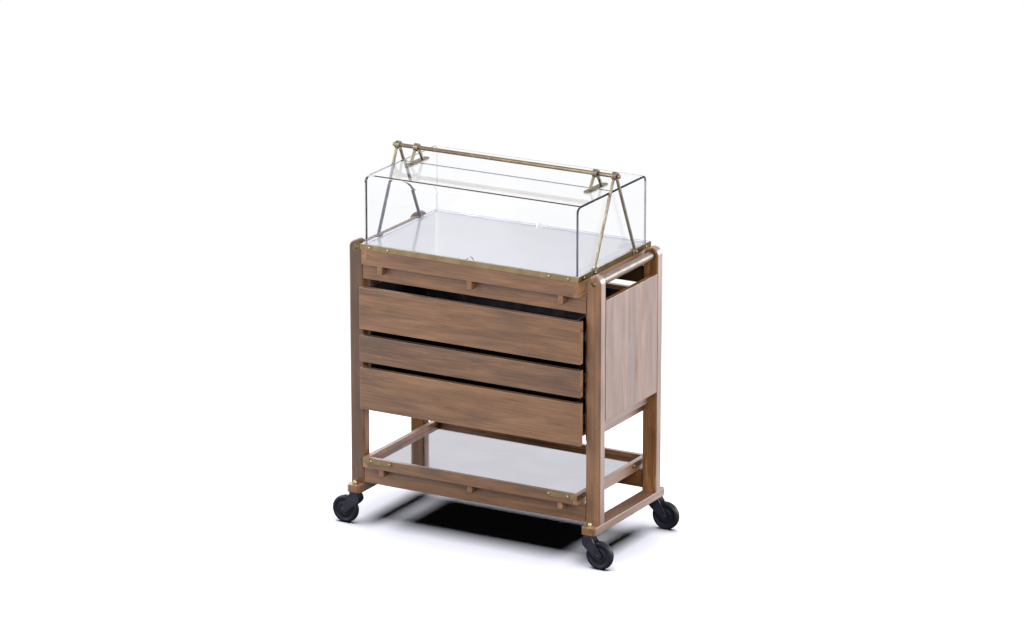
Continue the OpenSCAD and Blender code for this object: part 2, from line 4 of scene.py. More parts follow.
import bmesh
import bpy
import numpy as np
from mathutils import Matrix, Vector

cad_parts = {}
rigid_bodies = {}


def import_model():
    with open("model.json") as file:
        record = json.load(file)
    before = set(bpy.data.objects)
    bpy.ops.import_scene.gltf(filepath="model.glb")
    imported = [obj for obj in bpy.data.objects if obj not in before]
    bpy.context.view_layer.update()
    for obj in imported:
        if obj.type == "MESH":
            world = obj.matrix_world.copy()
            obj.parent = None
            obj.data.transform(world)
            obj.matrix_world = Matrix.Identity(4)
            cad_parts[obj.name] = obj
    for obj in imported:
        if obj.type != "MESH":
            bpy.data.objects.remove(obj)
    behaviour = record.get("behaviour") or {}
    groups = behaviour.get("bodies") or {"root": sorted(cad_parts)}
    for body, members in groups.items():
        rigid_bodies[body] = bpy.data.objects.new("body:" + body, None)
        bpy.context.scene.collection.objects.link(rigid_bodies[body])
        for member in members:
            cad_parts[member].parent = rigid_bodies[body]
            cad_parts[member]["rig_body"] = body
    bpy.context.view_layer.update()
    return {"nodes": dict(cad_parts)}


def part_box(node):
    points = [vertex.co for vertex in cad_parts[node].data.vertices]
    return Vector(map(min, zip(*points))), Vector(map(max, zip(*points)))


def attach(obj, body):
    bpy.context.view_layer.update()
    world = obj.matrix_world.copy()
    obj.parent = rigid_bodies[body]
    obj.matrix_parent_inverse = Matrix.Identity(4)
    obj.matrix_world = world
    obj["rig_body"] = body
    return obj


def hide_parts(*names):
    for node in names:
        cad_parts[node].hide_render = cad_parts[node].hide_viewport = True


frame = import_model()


# Camera: a long lens in front of the cart's right side and a little above it, held level.
# It stands fifteen metres off, so upright edges stay almost parallel.
scene = bpy.context.scene
photo_width = 1024
focal_pixels = 5090.34
sensor_width = 36
azimuth, elevation, distance = radians(29.41), radians(16.72), 15.1211
aim_aside, aim_height = 0.01911, 0.64444
aim = np.array((aim_aside * cos(azimuth), aim_aside * sin(azimuth), aim_height))
toward = np.array((sin(azimuth) * cos(elevation), -cos(azimuth) * cos(elevation), sin(elevation)))
lens = bpy.data.cameras.new("camera")
lens.sensor_width = sensor_width
lens.lens = sensor_width * focal_pixels / photo_width
lens.clip_end = 100
camera = bpy.data.objects.new("camera", lens)
camera.location = aim + distance * toward
camera.rotation_euler = (pi / 2 - elevation, 0, azimuth)
scene.collection.objects.link(camera)
scene.camera = camera


# Floor and lamps: a pale paper floor that fades into a white backdrop and keeps the shadow that
# falls straight down. The paper is dark and has a strong overhead lamp of its own, so its shadow
# goes near black and it throws no light up. Soft lamps stand round the cart.
class Value:
    """One output of a shader node; arithmetic on it adds Math nodes."""

    def __init__(self, nodes, socket):
        self.nodes = nodes
        self.socket = socket

    def __add__(self, other):
        return self.nodes.math("ADD", self, other)

    def __sub__(self, other):
        return self.nodes.math("SUBTRACT", self, other)

    def __rsub__(self, other):
        return self.nodes.math("SUBTRACT", other, self)

    def __mul__(self, other):
        return self.nodes.math("MULTIPLY", self, other)

    def __truediv__(self, other):
        return self.nodes.math("DIVIDE", self, other)

    def __pow__(self, other):
        return self.nodes.math("POWER", self, other)

    __radd__ = __add__
    __rmul__ = __mul__


class Nodes:
    """The node tree of a material or of the world. add() makes any node and gives its output."""

    def __init__(self, tree):
        self.tree = tree
        tree.nodes.clear()

    def add(self, kind, settings={}, sockets={}, output=0):
        node = self.tree.nodes.new(kind)
        for name, value in settings.items():
            if name == "stops":
                elements = node.color_ramp.elements
                while len(elements) < len(value):
                    elements.new(1)
                for element, (place, shade) in zip(elements, value):
                    element.position = place
                    element.color = shade
            else:
                setattr(node, name, value)
        for key, value in sockets.items():
            if isinstance(value, Value):
                self.tree.links.new(value.socket, node.inputs[key])
            else:
                node.inputs[key].default_value = value
        return Value(self, node.outputs[output]) if node.outputs else None

    def math(self, operation, *values):
        return self.add("ShaderNodeMath", {"operation": operation}, dict(enumerate(values)))

    def blend(self, factor, first, second):
        """Colour that goes from first to second as factor goes from 0 to 1."""
        return self.add("ShaderNodeMix", {"data_type": "RGBA"}, {0: factor, 6: first, 7: second}, 2)

    def step(self, value, low, high):
        """0 below low, 1 above high and a smooth ramp between; low may be the greater."""
        return self.add("ShaderNodeMapRange", {"interpolation_type": "SMOOTHSTEP"},
                        {0: value, 1: low, 2: high, 3: 0.0, 4: 1.0})

    def noise(self, vector, scale, detail=3.0, warp=0.0):
        return self.add("ShaderNodeTexNoise", {},
                        {"Vector": vector, "Scale": scale, "Detail": detail, "Distortion": warp})

    def place(self):
        """Where a point lies on the part, in metres."""
        return self.add("ShaderNodeTexCoord", output="Object")

    def ray(self, kind):
        """1 for a ray of the kind named, else 0."""
        return self.add("ShaderNodeLightPath", output="Is " + kind + " Ray")

    def bump(self, strength, distance, height):
        return self.add("ShaderNodeBump", {},
                        {"Strength": strength, "Distance": distance, "Height": height})

    def mixed_surface(self, factor, first, second):
        """Ends the tree with a shader that goes from first to second as factor goes to 1."""
        self.surface(self.add("ShaderNodeMixShader", {}, {0: factor, 1: first, 2: second}))

    def surface(self, shader, kind="ShaderNodeOutputMaterial"):
        self.add(kind, {}, {"Surface": shader})


def colour(red, green, blue):
    """Linear colour of one given as it displays, 10 to 255 a channel."""
    return (*(((channel / 255 + 0.055) / 1.055) ** 2.4 for channel in (red, green, blue)), 1.0)


def new_material(name):
    material = bpy.data.materials.new(name)
    material.use_nodes = True
    return material, Nodes(material.node_tree)


def backdrop_rays(nodes):
    """1 for a ray that the camera, a gloss or clear sheet sends, which shows the background."""
    shown = nodes.ray("Camera") + nodes.ray("Glossy") + nodes.ray("Transmission")
    return nodes.math("MINIMUM", shown, 1.0)


white = (1.0, 1.0, 1.0, 1.0)
ambient = 0.05
scene.world = bpy.data.worlds.new("world")
scene.world.use_nodes = True
world = Nodes(scene.world.node_tree)
strength = ambient + (1 - ambient) * backdrop_rays(world)
backdrop = world.add("ShaderNodeBackground", {}, {"Color": white, "Strength": strength})
world.surface(backdrop, "ShaderNodeOutputWorld")

floor_half = 9.0
fade_start, fade_end = 1.0, 2.3
gloss_fade_start, gloss_fade_end = 0.5, 0.8
lit_paper = ((0.05, 0.05, 0.0555, 1.0), (0.055, 0.055, 0.061, 1.0))
dim_paper = (0.0075, 0.0075, 0.0075, 1.0)
floor_mesh = bpy.data.meshes.new("floor")
corners = floor_half * np.array([(-1, -1, 0), (1, -1, 0), (1, 1, 0), (-1, 1, 0)])
floor_mesh.from_pydata(corners.tolist(), [], [(0, 1, 2, 3)])
floor = bpy.data.objects.new("floor", floor_mesh)
scene.collection.objects.link(floor)
floor_material, nodes = new_material("pale floor")
place = nodes.place()
reach = nodes.add("ShaderNodeVectorMath", {"operation": "LENGTH"}, {0: place}, "Value")
in_gloss = nodes.ray("Glossy")
far = nodes.step(reach, fade_start, fade_end)
far_in_gloss = nodes.step(reach, gloss_fade_start, gloss_fade_end)
fade = (far + (far_in_gloss - far) * in_gloss) * backdrop_rays(nodes)
speckle = nodes.noise(place, 1.4)
thrown_back = nodes.math("MAXIMUM", in_gloss, nodes.ray("Diffuse"))
paper = nodes.blend(thrown_back, nodes.blend(speckle, *lit_paper), dim_paper)
matt = nodes.add("ShaderNodeBsdfDiffuse", {}, {"Color": paper})
nodes.mixed_surface(fade, matt, nodes.add("ShaderNodeBsdfTransparent"))
floor_mesh.materials.append(floor_material)


def receivers(name, state):
    """Collection that lets a lamp light the floor alone (INCLUDE) or all but it (EXCLUDE)."""
    group = bpy.data.collections.new(name)
    group.objects.link(floor)
    group.collection_objects[0].light_linking.link_state = state
    return group


floor_alone = receivers("floor alone", "INCLUDE")
all_but_floor = receivers("all but the floor", "EXCLUDE")


def lamp(name, place, width, height, white_level, target=(0, 0, 0.6), lights=all_but_floor):
    """Area lamp aimed at target, where it lights a white surface that faces it to white_level."""
    light = bpy.data.lights.new(name, "AREA")
    light.shape = "RECTANGLE"
    light.size, light.size_y = width, height
    gap = Vector(target) - Vector(place)
    light.energy = white_level * pi ** 2 * gap.length_squared
    holder = bpy.data.objects.new(name, light)
    holder.location = place
    holder.rotation_euler = gap.to_track_quat("-Z", "Y").to_euler()
    holder.light_linking.receiver_collection = lights
    scene.collection.objects.link(holder)


lamp("overhead", (0, 0, 6.0), 8.0, 8.0, 53.0, (0, 0, 0), floor_alone)
lamp("front right", (3.6, -3.8, 3.2), 4.0, 3.0, 0.93)
lamp("front left", (-4.0, -3.1, 2.8), 4.0, 3.0, 0.76)
lamp("back right", (3.8, 3.4, 1.9), 3.0, 2.0, 0.62)
lamp("back left", (-4.2, 2.8, 1.6), 3.0, 2.0, 0.4)
lamp("top", (0.4, -0.5, 5.0), 3.0, 3.0, 0.08)
scene.view_settings.view_transform = "Standard"


# Posts and skids: solid timber, oiled. Each post is rounded over its top like a half disc and
# stands on a skid by a short tenon; the skid is one plank from toe to toe.
body_of = {name: frame["nodes"][name]["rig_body"] for name in frame["nodes"]}


def piece(name, mesh, node, materials, smooth=35.0, replaced=True):
    """Object of a mesh that rides where its node rides and replaces the node.

    Without replaced, it only joins what already stands for the node.
    """
    mesh.shade_smooth()
    mesh.set_sharp_from_angle(angle=radians(smooth))
    for material in materials:
        mesh.materials.append(material)
    made = bpy.data.objects.new(name, mesh)
    scene.collection.objects.link(made)
    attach(made, body_of[node])
    if replaced:
        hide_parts(node)
    return made


def merged_copy(node):
    """Copy of a CAD node's mesh with its doubles merged and each flat face in one."""
    weld, flat = 2e-6, radians(0.4)
    mesh = bpy.data.meshes.new(node)
    work = bmesh.new()
    work.from_mesh(frame["nodes"][node].data)
    bmesh.ops.remove_doubles(work, verts=work.verts, dist=weld)
    bmesh.ops.dissolve_limit(work, angle_limit=flat, verts=work.verts, edges=work.edges)
    work.to_mesh(mesh)
    work.free()
    mesh.materials.clear()
    return mesh


def ease(made, width, segments=2):
    """Rounds off the sharp edges of a piece to the given width."""
    bevel = made.modifiers.new("eased edges", "BEVEL")
    bevel.width = width
    bevel.segments = segments
    bevel.limit_method = "ANGLE"
    bevel.angle_limit = radians(35)
    bevel.use_clamp_overlap = False
    even = made.modifiers.new("even shading", "WEIGHTED_NORMAL")
    even.keep_sharp = True


def eased(node, material, width, segments=2):
    """The node's own shape as a piece with eased edges."""
    made = piece(node + "_eased", merged_copy(node), node, [material])
    ease(made, width, segments)
    return made


def finish_faces(made, material, where):
    """Gives one more material to the faces for which where(centre, normal) is true."""
    made.data.materials.append(material)
    for face in made.data.polygons:
        if where(face.center, face.normal):
            face.material_index = len(made.data.materials) - 1


def inward(centre, normal):
    """True for a face that looks towards the middle of the cart from its rim."""
    return centre.x * normal.x < -0.1 or centre.y * normal.y < -0.1


def timber(name, grain, board=0.0, ends=0.0, seed=0.0, tone=0.0, figure=0.9, wax=0.29, shade_paint=0.0):
    """Oiled timber. grain names the axes along the grain, over the board and through it.

    Its shade is slow noise, long streaks and shorter clouds, each noise drawn out along the grain,
    times figure, plus tone. Growth rings are a sine of the distance to a pith behind the face,
    bent by the slow noise and wound up round sparse swirls, and fibres and dark flecks lie over
    them. With board set, the face is glued up from boards of that width. Beyond ends, on X, the
    grain runs along Y and is paler, as end grain and as painted light. wax is how far a waxed
    sheen covers the oil where the face is seen aslant, and shade_paint is how far a near black
    painted shade hides the figure.
    """
    material, nodes = new_material(name)
    place = nodes.place()
    axes = {a: nodes.add("ShaderNodeSeparateXYZ", {}, {0: place}, a) for a in "XYZ"}
    along, over, through = (axes[a] for a in grain)
    if ends:
        beyond = nodes.math("GREATER_THAN", nodes.math("ABSOLUTE", axes["X"]), ends)
        along = axes["X"] + (axes["Y"] + 3.0 - axes["X"]) * beyond
        through = axes["Y"] + (axes["X"] - axes["Y"]) * beyond
        tone = beyond * 0.35 + tone
    shift = 0.5
    if board:
        number = nodes.math("FLOOR", over / board + 0.37) + seed
        shift = nodes.add("ShaderNodeTexWhiteNoise", {"noise_dimensions": "1D"}, {"W": number})
        over = over + shift * 0.4
        along = along + shift * 2.0

    def spread(u, v):
        drawn_out = {0: along * u + seed, 1: over * v, 2: through * v}
        return nodes.add("ShaderNodeCombineXYZ", {}, drawn_out)

    slow = nodes.noise(spread(1.3, 7.0), 1.0, 2.0)
    streaks = nodes.noise(spread(2.6, 110.0), 1.0, 4.0, 0.5)
    clouds = nodes.noise(spread(5.5, 34.0), 1.0, 3.0, 0.5)
    lines = nodes.noise(spread(9.0, 380.0), 1.0, 3.0, 0.6)
    fibre = nodes.noise(spread(14.0, 900.0), 1.0, 2.0)
    flecks = nodes.step(nodes.noise(spread(32.0, 380.0), 1.0, 2.0), 0.62, 0.72)
    cells = nodes.add("ShaderNodeTexVoronoi", {}, {"Vector": spread(3.1, 11.0), "Scale": 1.0})
    swirl = nodes.step(cells, 0.34, 0.02)
    pith_over, pith_through, ring_width = -0.021, 0.045, 0.0095
    depth = nodes.math("SQRT", (over - pith_over) ** 2.0 + (through - pith_through) ** 2.0)
    turns = depth / ring_width + slow * 7.0 + clouds * 2.4 + swirl * 1.8
    rings = nodes.math("SINE", turns * (2 * pi))
    shade = slow * 0.8 + streaks * 0.7 + clouds * 1.0 + lines * 0.9 + rings * 0.06
    shade = shade - swirl * 0.3 - flecks * 0.3 + (shift - 0.5) * 0.5
    usual_shade, middle_of_ramp = 1.7, 0.5
    shade = (shade - usual_shade) * figure + (middle_of_ramp + tone)
    oil_shades = [
        (0.1, (0.075, 0.031, 0.010, 1.0)),
        (0.36, (0.130, 0.056, 0.018, 1.0)),
        (0.55, (0.178, 0.079, 0.027, 1.0)),
        (0.85, (0.245, 0.116, 0.045, 1.0)),
        (1.0, (0.400, 0.200, 0.085, 1.0)),
    ]
    # Near black painted shade, laid over the figure as far as shade_paint says.
    painted_shade_black = (0.010, 0.005, 0.003, 1.0)
    figured = nodes.add("ShaderNodeValToRGB", {"stops": oil_shades}, {0: shade})
    grain_bump = nodes.bump(0.25, 0.0003, fibre * 0.5 + rings * 0.1 - flecks)
    oiled = nodes.add("ShaderNodeBsdfPrincipled", {}, {
        "Base Color": nodes.blend(shade_paint, figured, painted_shade_black),
        "Roughness": 0.34 + fibre * 0.14,
        "Specular IOR Level": 0.1 + 1.4 * wax,
        "Normal": grain_bump,
    })
    sheen = {"Color": (1.0, 0.94, 1.0, 1.0), "Roughness": 0.4, "Normal": grain_bump}
    waxed = nodes.add("ShaderNodeBsdfGlossy", {}, sheen)
    facing = nodes.add("ShaderNodeLayerWeight", {}, {"Blend": 0.5}, "Facing")
    aslant = nodes.step(facing, -0.02, 0.75)
    nodes.mixed_surface(aslant * wax * (clouds + 0.45), oiled, waxed)
    return material


# Inward faces take a copy of the timber with its sheen painted out as shade and a paler tone as
# painted light.
painted_inner_upright = timber("inner upright timber", "ZXY", tone=0.1, figure=1.2, wax=0.04)
# The left posts' timber is painted darker, with less sheen, as painted shade.
for side, tone, wax in (("left", -0.32, 0.25), ("right", 0.12, 0.3)):
    upright_timber = timber(side + " upright timber", "ZXY", tone=tone, wax=wax)
    for end in ("front", "rear"):
        post = eased("post_" + end + "_" + side, upright_timber, 0.0006)
        finish_faces(post, painted_inner_upright, inward)
skid_timber = timber("skid timber", "YXZ", seed=2.3, figure=1.1)
for node in ("skid_left", "skid_right"):
    eased(node, skid_timber, 0.0015, 3)


# Side panels, their lower rails and the back panel: boards glued edge to edge, grain upright at
# the sides and level at the back, set between the posts with the cabinet's boards inside them.
panel_timber = timber("panel timber", "ZYX", board=0.064, seed=5.1, tone=-0.03, figure=0.75,
                      wax=0.265)
for node in ("side_panel_left", "side_panel_right"):
    panel = eased(node, panel_timber, 0.001)
    # The panels' top faces take that copy too: the sheen painted out as shade, the tone paler as
    # painted light.
    finish_faces(panel, painted_inner_upright, lambda centre, normal: normal.z > 0.5)
side_rail_timber = timber("side rail timber", "YZX", seed=7.7)
for node in ("side_rail_left", "side_rail_right"):
    eased(node, side_rail_timber, 0.001)
level_panel_timber = timber("level panel timber", "XZY", board=0.094, seed=9.2)
eased("back_panel", level_panel_timber, 0.001)
cabinet_timber = timber("cabinet timber", "YZX", board=0.131, seed=4.4)
for node in ("cabinet_side_left", "cabinet_side_right"):
    eased(node, cabinet_timber, 0.001)


# Long rails and cross bearers: rails tenoned between the posts, their inner faces with the sheen
# painted out as shade and the upper ones painted near black inside as shade, and notched for the
# bearers that carry the trays, whose sawn ends show in front.
rail_timber = timber("rail timber", "XZY", seed=1.7)
for level, shade_paint in (("upper", 0.85), ("lower", 0.0)):
    # Inner faces: sheen painted out as shade, and on the upper rails a near black painted shade.
    painted_shade_rail = timber(level + " inner rail timber", "XZY", seed=1.7, wax=0.04, shade_paint=shade_paint)
    for end in ("front", "rear"):
        rail = eased(level + "_rail_" + end, rail_timber, 0.001)
        finish_faces(rail, painted_shade_rail, lambda centre, normal: centre.y * normal.y < -0.05)
bearer_timber = timber("bearer timber", "YXZ", seed=3.3, tone=-0.1, wax=0.1)
bearer_ends = timber("bearer end grain", "YXZ", seed=3.3, tone=0.12, wax=0.3)
for node in ("upper_bearers", "lower_bearers"):
    bearers = eased(node, bearer_timber, 0.0015, 3)
    finish_faces(bearers, bearer_ends, lambda centre, normal: abs(normal.y) > 0.5)


# Handles: brushed metal tubes between the posts, one at each end of the cart. A slotted domed
# bolt of brown brass holds each end of a tube in a recess in the post.
def metal(name, dark, light, rough, streaks, blotch=26.0, painted_shade_below=None):
    """Bare metal between two colours: slow blotches of tarnish, and brushing along one axis.

    streaks gives the noise scales on X, Y and Z, the smallest along the brushing.
    painted_shade_below gives a height and a colour of painted shade that the metal goes to
    beneath it.
    """
    material, nodes = new_material(name)
    place = nodes.place()
    tarnish = nodes.noise(place, blotch, 4.0, 0.4)
    drawn = nodes.add("ShaderNodeVectorMath", {"operation": "MULTIPLY"}, {0: place, 1: streaks})
    brushing = nodes.noise(drawn, 1.0, 2.0)
    tint = nodes.step(tarnish * 0.75 + brushing * 0.25, 0.34, 0.66)
    shade = nodes.blend(tint, dark, light)
    if painted_shade_below:
        level, painted_shade_colour = painted_shade_below
        height = nodes.add("ShaderNodeSeparateXYZ", {}, {0: place}, "Z")
        # Painted shade: darker beneath the given height.
        shade = nodes.blend(nodes.step(height, level, level - 0.012), shade, painted_shade_colour)
    nodes.surface(nodes.add("ShaderNodeBsdfPrincipled", {}, {
        "Base Color": shade,
        "Metallic": 1.0,
        "Roughness": rough + brushing * 0.1 - tint * 0.04,
        "Normal": nodes.bump(0.2, 0.0001, brushing),
    }))
    return material


handle_metal = metal("brushed handle metal", colour(132, 123, 117), colour(144, 135, 128), 0.44,
                     (700.0, 4.0, 700.0))
for node in ("handle_left", "handle_right"):
    eased(node, handle_metal, 0.001, 3)
even_wear = (160.0, 160.0, 160.0)
brown_brass = metal("brown brass", colour(88, 74, 50), colour(108, 93, 66), 0.5, even_wear)
eased("handle_bolts", brown_brass, 0.0004)


# Caster nuts: a washer and a six-sided acorn nut of bright brass on each toe of the skids,
# screwed down on the end of the caster's stem.
def arc(centre, radius, start, end, count):
    """Points on an arc about centre, from start to end in degrees, shaped (count, 2)."""
    turn = np.radians(np.linspace(start, end, count))
    return np.asarray(centre, float) + radius * np.stack([np.cos(turn), np.sin(turn)], 1)


def turned(profile, centre, axis, points=48, corners=0):
    """Rings of a turned shape: radius profile[i][0] at height profile[i][1] along the axis.

    Where profile[i][2] is 1 and corners is given, the ring is a polygon with that many corners:
    its radius is that of the circle, times the cosine of half a side over that of the angle left.
    """
    profile = np.array([(*row, 0.0)[:3] for row in profile], float)
    angle = np.linspace(0, 2 * pi, points, endpoint=False)
    radius = np.repeat(profile[:, :1], points, 1)
    if corners:
        half = pi / corners
        flat = cos(half) / np.cos((angle + half) % (2 * half) - half)
        radius = radius * np.where(profile[:, 2:3] > 0, flat[None, :], 1.0)
    rings = np.empty((len(profile), points, 3))
    rings[..., (axis + 1) % 3] = radius * np.cos(angle)
    rings[..., (axis + 2) % 3] = radius * np.sin(angle)
    rings[..., axis] = profile[:, 1:2]
    return rings + np.asarray(centre, float)


def loft(rings, ends=True):
    """Points and faces of a skin over closed rings of points, shaped (rings, points, 3).

    Each ring joins the next. With ends, the first and last ring are capped, and without, the
    last ring joins the first.
    """
    rings = np.asarray(rings, float)
    count, points = rings.shape[:2]
    first = np.arange(count - 1 if ends else count)[:, None] * points
    second = (first + points) % (count * points)
    here = np.arange(points)
    there = (here + 1) % points
    quads = np.stack([first + here, first + there, second + there, second + here], 2)
    faces = list(quads.reshape(-1, 4))
    if ends:
        faces += [here[::-1], here + (count - 1) * points]
    return rings.reshape(-1, 3), faces


def shell_mesh(name, shells):
    """Mesh of one or more lofted shells, with faces turned outwards."""
    mesh = bpy.data.meshes.new(name)
    places = np.concatenate([points for points, _ in shells])
    starts = np.cumsum([0] + [len(points) for points, _ in shells])
    faces = [(face + start).tolist() for start, (_, skin) in zip(starts, shells) for face in skin]
    mesh.from_pydata(places.tolist(), [], faces)
    work = bmesh.new()
    work.from_mesh(mesh)
    bmesh.ops.remove_doubles(work, verts=work.verts, dist=1e-7)
    bmesh.ops.recalc_face_normals(work, faces=work.faces)
    work.to_mesh(mesh)
    work.free()
    return mesh


nut_low, nut_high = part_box("caster_nuts")
bore, washer_radius, washer_top = 0.0052, 0.011, 0.002
washer = [
    (bore, 0), (0.0104, 0), (washer_radius, 0.0004), (washer_radius, 0.0016),
    (0.0104, washer_top), (bore, washer_top),
]
nut = [
    (bore, washer_top), (0.0068, washer_top, 1), (0.0075, 0.0027, 1), (0.0075, 0.0056, 1),
    (0.0069, 0.0064), *arc((0, 0.0065), 0.0066, 8, 88, 9),
]
toe_x, toe_y = nut_high.x - washer_radius, nut_high.y - washer_radius
shells = []
for x in (-toe_x, toe_x):
    for y in (-toe_y, toe_y):
        shells.append(loft(turned(washer, (x, y, nut_low.z), 2, 40)))
        shells.append(loft(turned(nut, (x, y, nut_low.z), 2, 48, 6)))
bright_brass = metal("bright brass", colour(160, 139, 101), colour(186, 163, 124), 0.33, even_wear)
piece("acorn_nuts", shell_mesh("acorn_nuts", shells), "caster_nuts", [bright_brass], smooth=25)


# Bolt rings: a thin washer of antique brass round the head of each handle bolt, which holds it
# down on the face of the post.
bolt_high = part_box("handle_bolts")[1]
bolt_radius = 0.0075
bolt_x, bolt_z = bolt_high.x - bolt_radius, bolt_high.z - bolt_radius
post_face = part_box("post_rear_right")[1].y
ring_profile = np.array([
    (0.0079, 0.0), (0.0096, 0.0), (0.0096, 0.0007), (0.0091, 0.0011), (0.0083, 0.0011),
    (0.0079, 0.0007),
])
shells = []
for x in (-bolt_x, bolt_x):
    for side in (-1, 1):
        rings = turned(ring_profile * (1, side), (x, side * post_face, bolt_z), 1, 48)
        shells.append(loft(rings, ends=False))
brass = metal("antique brass", colour(130, 112, 84), colour(148, 129, 100), 0.4, even_wear)
mesh = shell_mesh("bolt_rings", shells)
piece("bolt_rings", mesh, "handle_bolts", [brass], smooth=25, replaced=False)


# Casters: a moulded fork under each toe and a wheel with a rounded tread, a rim and a capped
# hub, in charcoal plastic with a faint mould texture, on a steel stem through the skid.
def plastic(name, shade, rough, grit):
    """Moulded plastic of one shade with slow wear in its sheen and a fine pebbled bump."""
    material, nodes = new_material(name)
    place = nodes.place()
    wear = nodes.noise(place, 22.0, 4.0)
    pebbles = nodes.noise(place, grit, 2.0)
    lighter = tuple(min(1.0, 1.4 * channel + 0.002) for channel in shade[:3]) + (1.0,)
    nodes.surface(nodes.add("ShaderNodeBsdfPrincipled", {}, {
        "Base Color": nodes.blend(nodes.step(wear, 0.42, 0.7), shade, lighter),
        "Roughness": rough + wear * 0.2,
        "Specular IOR Level": 0.22,
        "Normal": nodes.bump(0.15, 0.0002, pebbles),
    }))
    return material


fork_plastic = plastic("fork plastic", colour(39, 40, 50), 0.24, 900.0)
wheel_plastic = plastic("wheel plastic", colour(29, 30, 40), 0.26, 700.0)
near_side = np.array([
    (4.1, 10.5), (7.5, 10.5), (8.3, 10.2), (8.8, 9.4), (13.2, 8.9), (13.6, 9.6), (14.2, 9.9),
    (19.6, 9.9), (20.2, 9.6), (20.6, 8.3), (21.2, 7.9), (30.4, 7.9), (31.0, 8.3), (31.4, 9.6),
    (32.2, 10.1), (36.6, 10.4), (38.4, 10.1), (40.6, 9.0), (42.0, 7.0), (42.8, 4.0), (43.0, 1.4),
]) / 1000
wheel_profile = np.concatenate([near_side, near_side[::-1] * (1, -1)])
for corner in ("fl", "fr", "rl", "rr"):
    eased("caster_fork_" + corner, fork_plastic, 0.0007)
    low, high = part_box("caster_wheel_" + corner)
    rings = turned(wheel_profile, (low + high) / 2, 1, 96)
    mesh = shell_mesh("wheel_" + corner, [loft(rings, ends=False)])
    piece("wheel_" + corner, mesh, "caster_wheel_" + corner, [wheel_plastic], smooth=40)
stem_finish = frame["nodes"]["caster_stems"].data.materials
stem_finish.clear()
stem_finish.append(
    metal("stem steel", colour(90, 92, 98), colour(150, 152, 158), 0.35, (90.0, 90.0, 900.0)))


# Drawers: a solid timber front, level grain with sawn ends paler as end grain and as painted
# light, on a box folded from thin steel sheet with a hemmed rim whose top is painted lighter as a
# highlight, and a steel runner at each side in a channel on the cabinet.
# The fronts' end faces are paler, as end grain and as painted light.
drawer_ends_painted_light = timber("drawer end timber", "YZX", seed=12.5, tone=0.5, figure=0.7, wax=0.12)
front_timber = {
    "upper": timber("upper drawer timber", "XZY", seed=11.2),
    "middle": timber("middle drawer timber", "XZY", seed=13.9, tone=-0.2, figure=1.3),
    "lower": timber("lower drawer timber", "XZY", seed=16.1),
}
steel = metal("box steel", colour(56, 56, 62), colour(78, 78, 86), 0.42, (30.0, 1400.0, 1400.0))
zinc = metal("slide steel", colour(112, 113, 118), colour(150, 151, 156), 0.3, (900.0, 14.0, 900.0))
sheet, fold, hem = 0.0015, 0.0022, 0.008


def end_face(centre, normal):
    """True for a face at the left or right end of a board."""
    return abs(normal.x) > 0.5


def box_ring(low, high, inset, z, corner=0.003, points=6):
    """Closed ring of points at z round a rectangle drawn in by inset, its corners rounded.

    Each corner is a quarter circle of radius corner less inset that touches both sides.
    """
    radius = max(corner - inset, 0.0004)
    back = inset + radius
    quarters = [
        arc((high.x - back, high.y - back), radius, 0, 90, points),
        arc((low.x + back, high.y - back), radius, 90, 180, points),
        arc((low.x + back, low.y + back), radius, 180, 270, points),
        arc((high.x - back, low.y + back), radius, 270, 360, points),
    ]
    return np.insert(np.concatenate(quarters), 2, z, axis=1)


for name in ("upper", "middle", "lower"):
    front = eased(name + "_drawer_front", front_timber[name], 0.0012, 3)
    finish_faces(front, drawer_ends_painted_light, end_face)
    eased(name + "_drawer_runners", zinc, 0.0008)
    low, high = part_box(name + "_drawer_box")
    profile = [
        *arc((fold, low.z + fold), fold, 270, 180, 5),
        *arc((sheet, high.z - sheet), sheet, 180, 0, 8),
        (2 * sheet, high.z - hem), (sheet, high.z - hem - 0.0006), (sheet, low.z + 2 * sheet),
        (sheet + 0.0006, low.z + sheet + 0.0004), (sheet + 0.0016, low.z + sheet),
    ]
    rings = [box_ring(low, high, inset, z) for inset, z in profile]
    mesh = shell_mesh(name + "_drawer_sheet", [loft(rings)])
    box = piece(name + "_drawer_sheet", mesh, name + "_drawer_box", [steel], smooth=50)
    # The rim's top faces take the paler zinc as a painted highlight.
    finish_faces(box, zinc, lambda centre, normal: centre.z > high.z - sheet)
eased("slide_channels", zinc, 0.0005)


# Upper tray: timber boards, the end boards run through and paler outside, as end grain and as
# painted light, round a white gloss panel whose white runs on over their tops. Flat brass bars
# are screwed on all round by domed screws; the bars' inner faces take the white gloss as a
# painted reflection, their two ends are painted browner as shade, and each screw is painted dark
# round its foot as its shadow.
def gloss_panel(name, shade):
    """White lacquered panel: even colour with a faint slow mottle, under a clear gloss coat."""
    material, nodes = new_material(name)
    place = nodes.place()
    mottle = nodes.noise(place, 9.0)
    ripple = nodes.noise(place, 55.0, 2.0)
    darker = tuple(0.94 * channel for channel in shade[:3]) + (1.0,)
    nodes.surface(nodes.add("ShaderNodeBsdfPrincipled", {}, {
        "Base Color": nodes.blend(mottle, darker, shade),
        "Roughness": 0.1 + mottle * 0.08,
        "Coat Weight": 0.4,
        "Coat Roughness": 0.05,
        "Normal": nodes.bump(0.05, 0.0004, ripple),
    }))
    return material


def screw_foot(bar_face):
    """Rule for the steep foot of screws whose heads look along Y at bar_face, or else along X.

    That foot is painted dark as the screw's shadow.
    """
    def foot(centre, normal):
        return abs(normal.y if abs(centre.y) > bar_face - 0.001 else normal.x) < 0.78

    return foot


